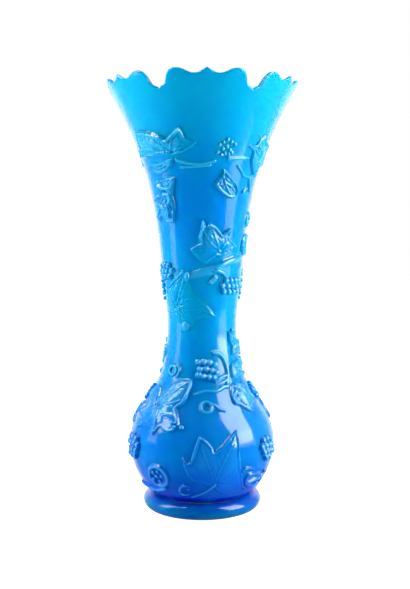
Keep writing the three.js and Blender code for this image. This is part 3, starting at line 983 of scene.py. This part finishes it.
# The vine on the front half, with places in degrees from the front and heights in millimetres. A leaf has
# corners and veins, ridges with their height, and faint places with their reach and strength.
add_leaf("base_leaf", at=(10, 38), root=(9, 27.5), rise=0.62, vein_rise=0.6, ridges=[
    ([(-2.2, 59.6), (-5.2, 52), (-7.4, 45.6)], 1.7), ([(-1.2, 59.4), (2.6, 57.4), (6.6, 54)], 1.5),
    ([(28, 61), (28.8, 55), (28.4, 47)], 0.6),
], faint=[((2, 33), 7, 0.45), ((24, 26), 9, 0.5), ((13, 45), 7, 0.3), ((32, 38), 8, 0.6)], corners=[
    (-14.6, 47.2), (-11.2, 42.5), (-8.6, 43.6), (-6.2, 50.5), (-1.8, 61), (3, 58.6), (7.6, 54.2), (9, 50.2),
    (15, 54.5), (28.8, 64), (29.8, 56), (29.4, 47), (31, 39), (34.5, 30), (39.5, 21.2), (30, 19.8),
    (20, 19.3), (12, 22.5), (8.5, 26), (2, 27.5), (-5, 29.5), (-10, 33), (-12.8, 38),
], veins=[
    [(6, 38), (1, 50), (-1.5, 58)], [(14, 40), (21, 52), (27.5, 61.5)], [(-2, 35), (-12.5, 44.5)],
    [(22, 33), (30, 42)], [(23, 25.5), (37, 22.5)], [(1, 29), (-8, 32.5)],
])
add_leaf("bulb_left_leaf", at=(-42, 75), root=(-47, 77), vein_rise=0.55, ridges=[
    ([(-57, 83.4), (-52.7, 79.5), (-49, 75)], 1), ([(-42.5, 69.1), (-41.3, 64.8), (-41.8, 61.5)], 0.9),
    ([(-13.6, 93), (-15.6, 86.5), (-19.5, 81.5)], 0.9),
    ([
        (-36.4, 71.6), (-30.2, 72.4), (-22.8, 71), (-21, 68.6), (-21.4, 66), (-24.7, 63.6), (-30.2, 63.6),
    ], 0.5),
], faint=[((-66, 76), 9, 0.6), ((-50, 66), 8, 0.6), ((-60, 85), 8, 0.5), ((-31, 67), 9, 0.7)], corners=[
    (-11.5, 95.8), (-14.5, 86.5), (-18, 80), (-25, 76.5), (-21, 72.5), (-18.5, 67), (-22, 62.5), (-29, 61.5),
    (-36, 64.5), (-41.5, 58), (-46, 63.5), (-56, 62.5), (-67, 60), (-62, 66.5), (-78, 70), (-69, 75.5),
    (-78, 83), (-68, 90), (-57, 88.5), (-50.5, 82), (-45, 88), (-38, 93.5), (-26, 95.8),
], veins=[
    [(-37, 83), (-26, 89), (-14, 94.5)], [(-40, 85), (-34, 92)], [(-32, 79), (-18, 82.5)],
    [(-53, 82), (-60, 87)], [(-60, 77.5), (-72, 80)], [(-58, 71.5), (-73, 71)], [(-52, 68), (-62, 62)],
    [(-43, 69), (-41.5, 61)], [(-37, 71.5), (-29, 69)],
])
add_leaf("shoulder_right_leaf", at=(48, 84), corners=[
    (42, 92.3), (36, 90.5), (32.6, 86), (32.3, 81.5), (34.5, 78.3), (40, 77.6), (44, 75.3), (48, 73),
    (53.5, 71.8), (58, 77), (71, 79), (66, 85), (70, 92), (55, 91),
], veins=[
    [(44, 91), (42, 83), (51, 74.5)], [(44, 91), (54, 85), (67, 80.5)], [(44, 91), (57, 89), (67, 91)],
    [(43, 88), (38, 85), (34.5, 83)],
])
add_leaf("waist_right_leaf", at=(62, 101), corners=[
    (44, 94.8), (43, 100), (45.5, 105), (52, 105.6), (60, 107), (76, 108), (85, 103), (76, 100), (83, 94.5),
    (62, 95.3), (50, 94),
], veins=[[(85, 101), (62, 100), (46, 103)], [(72, 100), (58, 104), (50, 104.6)], [(72, 100), (60, 97)]])
add_leaf("neck_low_leaf", at=(62, 117), corners=[
    (46, 128), (58, 124), (70, 121.5), (84, 121), (76, 116), (81, 110.5), (64, 112), (50, 110.5), (53, 116),
    (46, 121),
], veins=[[(82, 118), (64, 118), (48, 126)], [(66, 118), (58, 114), (52, 111.5)]])
add_leaf("neck_front_leaf", at=(18, 188), root=(24, 183), vein_rise=0.7, ridges=[
    ([(0.9, 203.4), (-1, 198), (-3.4, 192.6)], 1.5), ([(7, 201), (16.5, 199), (24.6, 194.6)], 0.7),
    ([(26, 193.4), (31, 196), (36.6, 198.6)], 0.9),
], faint=[
    ((-6, 182.5), 5.5, 0.65), ((7, 178.5), 6.5, 0.75), ((30, 183), 6, 0.5), ((18, 182), 6, 0.5),
], corners=[
    (1, 205), (-1.5, 198), (-4.5, 191.5), (-2, 188.5), (-8, 187), (-15, 184.6), (-9, 180), (0, 176),
    (5, 174.2), (12, 177.5), (20, 179.5), (32, 179.5), (42, 183), (50, 187), (43, 190), (38, 192),
    (41, 198.5), (37, 199.6), (26, 194.3), (17, 200.3), (9, 202.3), (5, 200.5),
], veins=[
    [(11, 189), (3, 196), (0.5, 203)], [(18, 191), (12, 200)], [(32, 191), (38, 197.5)],
    [(37, 184.4), (47, 187)], [(6, 183), (-13, 184.6)], [(14, 180), (5, 176)],
])
add_leaf("neck_left_leaf", at=(-32, 148), rise=0.3, vein_rise=2.2, ridges=[
    ([(10, 141.4), (20, 138.8)], 1.8), ([(-1.4, 143.6), (4.9, 143.6)], 1.4),
], faint=[((-26, 158), 7, 0.5), ((-14, 155), 8, 0.7), ((-8, 146), 8, 0.6), ((-22, 136), 8, 0.7)], corners=[
    (-23, 170), (-19, 162), (-12, 154), (2, 147.5), (12, 144), (21, 138.5), (12, 137), (3, 138), (-10, 135),
    (-16, 131), (-34, 131), (-44, 138), (-72, 139.5), (-58, 146), (-62, 153), (-50, 160), (-36, 164),
], veins=[
    [(-60, 142), (-44, 146), (-26, 148.6), (-13, 152)], [(-42, 146.5), (-35, 152), (-29, 153.6)],
    [(-44, 146), (-32, 157), (-25, 166)], [(-44, 146), (-20, 142.5), (2, 142), (18, 139.3)],
    [(-44, 146), (-32, 138), (-20, 132.5)], [(-50, 146), (-56, 150)],
])
add_leaf("mouth_left_leaf", at=(-34, 252), root=(-28, 249), ridges=[
    ([(-61, 263.6), (-53.8, 262.4), (-36, 259), (-30.5, 256.6)], 1.4),
    ([(-30, 256.6), (-25.4, 259), (-18.2, 263.2)], 1.4),
], faint=[((-9, 254), 8, 0.6), ((-58, 250), 7, 0.3)], corners=[
    (-63, 264.8), (-46, 263), (-37, 260.7), (-30, 257.5), (-25, 260.6), (-17.5, 265), (-14.5, 258),
    (-4, 254.5), (-13, 250), (-25, 247), (-40, 248.5), (-56, 247.8), (-76, 246.5), (-68, 254),
], veins=[
    [(-36, 254), (-48, 258.5), (-60, 263.5)], [(-25, 256), (-19, 262.5)], [(-18, 252), (-8, 254)],
    [(-42, 251), (-56, 253.5), (-66, 253)], [(-48, 249), (-70, 247.8)],
])
add_leaf("mouth_left_lower_leaf", at=(-44, 240), corners=[
    (-59, 243.5), (-48, 242.4), (-38, 243.4), (-27.5, 245), (-29, 241), (-35, 237.4), (-44, 235.5),
    (-53, 236),
], veins=[[(-27.5, 244.5), (-36, 241), (-46, 239.2), (-55, 241.5)]])
add_leaf("hanging_left_leaf", at=(-44, 217), corners=[
    (-54, 231), (-44, 232), (-28, 233.3), (-31, 227), (-33.5, 221.5), (-32, 214), (-33, 208), (-34.5, 202.5),
    (-48, 202.5), (-53, 207), (-68, 203.5), (-60, 212), (-67, 219), (-54, 222),
], veins=[
    [(-46, 232), (-44, 223), (-42, 213), (-41, 204)], [(-44, 225), (-36, 228), (-31, 231.5)],
    [(-44, 222), (-53, 215), (-64, 206)], [(-44, 222), (-54, 220), (-63, 218)],
    [(-43, 217), (-37, 211), (-35.5, 205)],
])
add_leaf("mouth_right_leaf", at=(62, 247), corners=[
    (63.5, 262.8), (58, 260), (53.5, 254.8), (43.5, 253.8), (51, 250.5), (52, 243), (57, 238.5), (68, 233),
    (71, 240), (81, 243), (77, 251), (78, 258), (68, 256),
], veins=[
    [(66, 238), (62, 248), (58, 254), (62, 261)], [(62, 248), (54, 252), (46, 253.4)],
    [(64, 244), (72, 248), (76, 250)],
])
add_leaf("mouth_centre_leaf", at=(28, 228), ridges=[([(41, 221.6), (38.4, 226.5), (31, 231)], 1)], corners=[
    (21, 238.5), (19, 233), (13, 228.5), (17, 224.5), (24, 221), (32, 218.6), (39, 219.4), (42, 223.5),
    (37, 230), (29, 234.5),
], veins=[
    [(21, 237), (24, 229), (32, 221)], [(24, 230), (33, 226), (39.5, 222)],
    [(22, 233), (19, 228.5), (15, 227.5)],
])
add_leaf("neck_side_leaf", at=(75, 186), corners=[
    (65, 191), (72, 194.5), (85, 195.5), (82, 187), (86, 180), (74, 179.5), (64, 183),
], veins=[[(74, 180), (75, 187), (82, 194)], [(75, 187), (68, 190)]])

# Bunches of grapes: the middle of each berry, and the berries' radius
add_grapes("waist_grapes", at=(7, 103), radius=2.5, berries=[
    (-5.5, 107), (2.5, 107.2), (10.8, 106.6), (18.6, 105), (-2.6, 102.3), (5.4, 102.4), (13.6, 101.3),
    (20, 99.6), (-4.4, 98.2), (1.6, 97.4), (9.4, 97), (16, 96.2),
])
add_grapes("bulb_right_grapes", at=(61, 48), radius=2.6, berries=[
    (54, 53.4), (59, 54), (64.5, 53), (51.8, 49.3), (56.8, 49.6), (61.8, 49.2), (66.8, 48.6), (54.4, 45.2),
    (59.4, 45.2), (64.4, 44.8), (69, 44.4), (58, 41.2), (63, 41),
])
add_grapes("bulb_left_grapes", at=(-67, 48), radius=2.6, berries=[
    (-60, 54), (-65.4, 54.6), (-71, 54), (-57.4, 49.8), (-62.6, 50.4), (-68, 50.4), (-73.4, 50),
    (-59.6, 45.8), (-65, 46), (-70.4, 46), (-62, 41.8), (-67.4, 41.6), (-73, 42),
])
add_grapes("shoulder_right_grapes", at=(82, 84), radius=2.5, berries=[
    (82, 88), (78.4, 84.4), (85, 84.2), (81.6, 80.4), (87.6, 80.4),
])
add_grapes("neck_right_grapes", at=(46, 157), radius=2.3, berries=[
    (36, 163.2), (45, 163), (54, 163), (62.5, 163), (30.6, 159.4), (39.8, 159.2), (49, 159.2), (58, 159.2),
    (67, 159.6), (33.6, 155.4), (43, 155), (52.6, 155), (61.8, 155.4),
])
add_grapes("neck_left_grapes", at=(-60, 169), radius=2.3, berries=[
    (-52, 173), (-60.6, 173.4), (-69, 173), (-46, 169.6), (-55.6, 169.4), (-64.6, 169.4), (-73.6, 169.4),
    (-51, 165.6), (-60, 165.4), (-69, 165.4),
])
add_grapes("mouth_right_grapes", at=(22, 253), radius=1.6, lift=-0.5, berries=[
    (21.8, 256.6), (29.4, 253.8), (15, 253.2), (22, 252.2), (14.2, 248.6), (21, 248), (27.6, 248.6),
    (18.4, 254.9), (25.6, 255.2), (18.4, 250.6), (25.2, 250.2), (17.8, 246.8), (24.4, 246.8),
])

# Stems and tendrils: routes with the tube's radius at each end, rings, and round buds with their radii
add_stems("bulb_tendril", at=(-37.4, 31), ring=7.4, ring_radius=1.35, routes=[
    ([(-72, 20.8), (-57, 19.6), (-44.4, 19.8), (-33, 22.6)], 1.1, 1.4),
], buds=[
    ((-41.3, 33.4), 1.6, 1.5), ((-36.5, 34.6), 1.5, 1.4), ((-33.6, 31.8), 1.5, 1.4), ((-38.6, 31), 1.6, 1.5),
    ((-42.6, 28.6), 1.4, 1.4), ((-36.6, 28), 1.5, 1.4),
])
add_stems("bulb_ring", at=(4.4, 78), ring=3.8, ring_radius=1, routes=[
    ([(8.6, 79.6), (13, 79), (17, 76.6), (22, 75.5)], 1.2, 0.7),
])
add_stems("waist_left_ring", at=(-45, 100.5), ring=3.2, ring_radius=0.95, routes=[
    ([(-36, 104), (-33.8, 102.6), (-33.4, 99.6), (-35.2, 96.4)], 0.9, 0.9),
])
add_stems("waist_tendril", at=(30, 102), routes=[
    ([(19, 113.2), (27, 112.4), (33.5, 109.2), (37.6, 103.5), (37.5, 98), (33.5, 91.8)], 1.5, 1.2),
    ([(35, 97.4), (26, 96.4), (17, 94.2)], 1.1, 0.8), ([(34, 94.6), (26, 92.8), (18, 91.4)], 1.1, 0.8),
])
add_stems("base_bud", at=(-16, 23), routes=[
    ([(-10.4, 26), (-14.6, 26.6), (-18.2, 24.4), (-19.4, 21.6), (-17, 19.4), (-12, 19.8)], 0.7, 0.9),
], buds=[((-14.8, 26.8), 1.4, 1.2), ((-16.6, 19.8), 1.4, 1.2), ((-11.4, 24), 1, 1)])
add_stems("base_curl", at=(50, 28), routes=[
    ([
        (41, 24.4), (38.6, 28), (40.6, 31.4), (48, 31.6), (56, 29.4), (60.6, 25.6), (58, 22.6), (50, 22.2),
        (43, 23.6),
    ], 1, 1),
    ([(42.4, 25.4), (49, 27), (55.4, 27.2)], 1.3, 1.6), ([(32.9, 35.4), (36.4, 36.8), (44, 36)], 1, 0.9),
], buds=[((62.4, 30.6), 1.9, 1.6), ((40, 21.4), 1.1, 1.1)])
add_stems("neck_bud", at=(16, 162), routes=[([(12.5, 161.8), (19, 164.8)], 1.2, 1.4)], buds=[
    ((13.5, 162), 1.7, 1.5),
])
add_stems("neck_stem", at=(20, 171), routes=[
    ([(21.5, 172.3), (30, 174.3), (40, 176.2), (50, 177.4), (60, 178)], 1.9, 1.8),
    ([(16, 169.8), (25, 169.4), (32, 167.6), (38.4, 163.6)], 1.2, 1.3),
])
add_stems("mouth_twig", at=(40, 245.5), routes=[
    ([(25.5, 244.6), (30, 245.2), (48, 246)], 1, 0.9), ([(24.4, 248), (25.4, 244.4)], 0.8, 1),
])
add_stems("mouth_stems", at=(50, 230), routes=[
    ([(37, 240.2), (42, 237.4), (46, 234.6), (58, 233.6), (66, 235)], 0.9, 0.9),
    ([(57, 233.3), (60, 228.6), (62.5, 224.6)], 0.9, 0.9),
    ([(50.6, 223.6), (53.6, 225.8), (57.4, 225.4)], 1.1, 0.8),
])
add_stems("neck_side_ring", at=(77, 205), ring=4)

# Finer moulding that the solids leave out. A lift puts it on top of a leaf, or sinks it into the glass.
add_detail("base_stalk", at=(0, 24), routes=[([(10.5, 27.5), (5, 23.4), (-2, 20), (-9, 17.8)], 1.2, 0.8)])
add_detail("shoulder_stem", at=(12, 88), flatness=0.6, routes=[
    ([(-9, 86), (4, 88.2), (17, 88), (28, 90.4), (33, 90.4)], 0.8, 1.2),
])
add_detail("mouth_stem", at=(0, 242), flatness=0.22, routes=[
    ([(-24, 244), (-12, 241.6), (0, 241.2), (12, 243)], 0.9, 0.7),
    ([(-20, 239), (-6, 239.4), (8, 240.2)], 0.7, 0.6),
])
add_detail("neck_oval", at=(-21, 166), lift=0.8, buds=[((-20.8, 166), 1.8, 3.4)])
add_detail("neck_low_stem", at=(0, 168), flatness=0.16, routes=[
    ([(-17, 165.6), (0, 168.4), (14, 170.2), (24, 171.8)], 1.6, 2.2),
])
add_detail("neck_left_stem", at=(-40, 164), routes=[
    ([(-56, 158), (-46, 162), (-38.2, 164.7), (-28, 168.6)], 0.8, 0.9),
])
add_detail("neck_left_small_berries", at=(-82, 162), buds=[
    ((-72, 164), 1.7, 1.7), ((-80, 166.2), 1.7, 1.7), ((-84, 162), 1.7, 1.7), ((-78, 159), 1.7, 1.7),
    ((-86, 157.6), 1.7, 1.7), ((-80, 154.6), 1.7, 1.7), ((-88, 153), 1.6, 1.6), ((-84, 149.6), 1.5, 1.5),
])
add_detail("neck_low_bud", at=(-28, 131), lift=0.3, buds=[((-28, 131.2), 3.2, 3.4, 1)])
add_detail("left_leaf_berries", at=(-22, 66), lift=1.7, buds=[
    ((-25.4, 67.4), 1.4, 1.3), ((-22.6, 65.4), 1.3, 1.2), ((-22.4, 68), 1.1, 1.1),
])
add_detail("cup_berry", at=(-16.4, 65.6), buds=[((-16.4, 65.6), 1.8, 1.6)])
add_detail("bulb_left_small_berries", at=(-84, 84), buds=[
    ((-82, 87.6), 1.7, 1.7), ((-86, 85), 1.8, 1.8), ((-90, 82), 1.8, 1.8), ((-84, 81.4), 1.8, 1.8),
    ((-88, 78.4), 1.8, 1.8), ((-93, 78.6), 1.7, 1.7),
])
add_detail("bulb_left_loop", at=(-86, 70), routes=[
    ([(-80, 76), (-87, 74.6), (-91, 70), (-89, 65), (-83, 62.6)], 1.2, 1.1),
])
add_detail("waist_left_loop", at=(-84, 112.5), ring=3.4, ring_radius=1.1)
add_detail("waist_right_buds", at=(66, 118), buds=[
    ((57, 127.6), 1.6, 1.8), ((82, 112), 1.5, 1.5), ((80, 107), 1.5, 1.5),
])
add_detail("hanging_leaf_stems", at=(-42, 222), lift=1.9, routes=[
    ([(-52, 228), (-47.6, 226.6), (-36.1, 226.1), (-31.4, 228.6)], 0.9, 0.9),
    ([(-36.1, 226.1), (-34.6, 223.1)], 0.8, 0.8),
    ([(-44.6, 222.2), (-37.4, 221.1), (-36.4, 217.9), (-42, 214.8)], 0.9, 0.9),
    ([(-59, 216.7), (-47, 213.5)], 0.9, 0.9),
])
